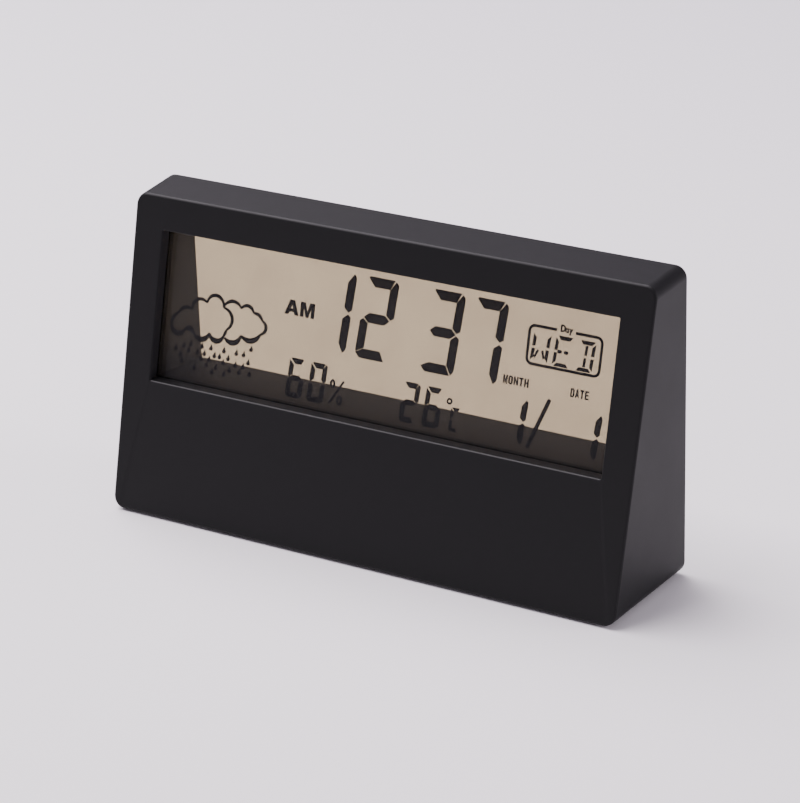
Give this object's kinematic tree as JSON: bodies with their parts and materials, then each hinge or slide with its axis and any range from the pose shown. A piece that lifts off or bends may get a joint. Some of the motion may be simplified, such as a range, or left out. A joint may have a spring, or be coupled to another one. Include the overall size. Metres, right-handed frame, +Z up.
{
  "type": "weather station clock",
  "caption": "Black wedge-shaped desk clock with a see-through weather display in a window through the case, keys and a hinged battery door on the back.",
  "frame": {"origin": "middle of the footprint's box, on the surface that the rubber feet stand on", "axes": "+X to the right along the case as its reader sees it, +Y to the back, +Z up"},
  "size_m": [0.135, 0.0318, 0.0733],
  "materials": {
    "case_plastic": "fine matte texture",
    "key_plastic": "satin",
    "polariser_film": "clear tan film",
    "display_glass": "clear",
    "gasket_rubber": "matte",
    "ribbon_film": "amber film",
    "pale_resin": "moulded",
    "circuit_board": "solder mask",
    "plated_steel": "plated",
    "spring_steel": "nickel plated",
    "black_epoxy": "smooth",
    "cell_sleeve": "glossy sleeve",
    "red_insulation": "satin",
    "black_sleeve": "satin",
    "foot_rubber": "matte"
  },
  "bodies": {
    "case": {"front_shell": "case_plastic", "rear_cover": "case_plastic", "front_polariser": "polariser_film", "lcd_front_glass": "display_glass", "lcd_rear_glass": "display_glass", "rear_polariser": "polariser_film", "lcd_gasket": "gasket_rubber", "lcd_ribbon": "ribbon_film", "ribbon_socket": "pale_resin", "main_board": "circuit_board", "board_screw_1": "plated_steel", "board_screw_2": "plated_steel", "board_screw_3": "plated_steel", "board_screw_4": "plated_steel", "chip_cover": "black_epoxy", "crystal": "plated_steel", "capacitor": "black_sleeve", "buzzer": "black_epoxy", "humidity_sensor": "pale_resin", "thermistor": "black_epoxy", "tact_switch_1": "black_epoxy", "tact_switch_2": "black_epoxy", "tact_switch_3": "black_epoxy", "tact_switch_4": "black_epoxy", "tact_switch_5": "black_epoxy", "battery_cell_lower": "cell_sleeve", "battery_cell_upper": "cell_sleeve", "contact_plate_positive": "spring_steel", "contact_spring_negative": "spring_steel", "contact_bridge": "spring_steel", "battery_lead_positive": "red_insulation", "battery_lead_negative": "black_sleeve", "case_screw_lower_left": "plated_steel", "case_screw_lower_right": "plated_steel", "case_screw_upper_left": "plated_steel", "case_screw_upper_right": "plated_steel", "foot_front_left": "foot_rubber", "foot_front_right": "foot_rubber", "foot_rear_left": "foot_rubber", "foot_rear_right": "foot_rubber"},
    "battery_cover": {"battery_door": "case_plastic"},
    "key_1": {"button_1": "key_plastic", "switch_plunger_1": "key_plastic"},
    "key_2": {"button_2": "key_plastic", "switch_plunger_2": "key_plastic"},
    "key_3": {"button_3": "key_plastic", "switch_plunger_3": "key_plastic"},
    "key_4": {"button_4": "key_plastic", "switch_plunger_4": "key_plastic"},
    "key_5": {"button_5": "key_plastic", "switch_plunger_5": "key_plastic"}
  },
  "joints": [
    {"name": "battery_door_hinge", "type": "hinge", "parent": "case", "child": "battery_cover", "pos_m": [-0.02965, 0.01486, 0.0042], "axis": [-1, 0, 0], "range_deg": [0, 80]},
    {"name": "key_1_press", "type": "slide", "parent": "case", "child": "key_1", "axis": [0, -1, 0], "range_m": [0, 0.0005], "stiffness_N_per_m": 600},
    {"name": "key_2_press", "type": "slide", "parent": "case", "child": "key_2", "axis": [0, -1, 0], "range_m": [0, 0.0005], "stiffness_N_per_m": 600},
    {"name": "key_3_press", "type": "slide", "parent": "case", "child": "key_3", "axis": [0, -1, 0], "range_m": [0, 0.0005], "stiffness_N_per_m": 600},
    {"name": "key_4_press", "type": "slide", "parent": "case", "child": "key_4", "axis": [0, -1, 0], "range_m": [0, 0.0005], "stiffness_N_per_m": 600},
    {"name": "key_5_press", "type": "slide", "parent": "case", "child": "key_5", "axis": [0, -1, 0], "range_m": [0, 0.0005], "stiffness_N_per_m": 600}
  ]
}
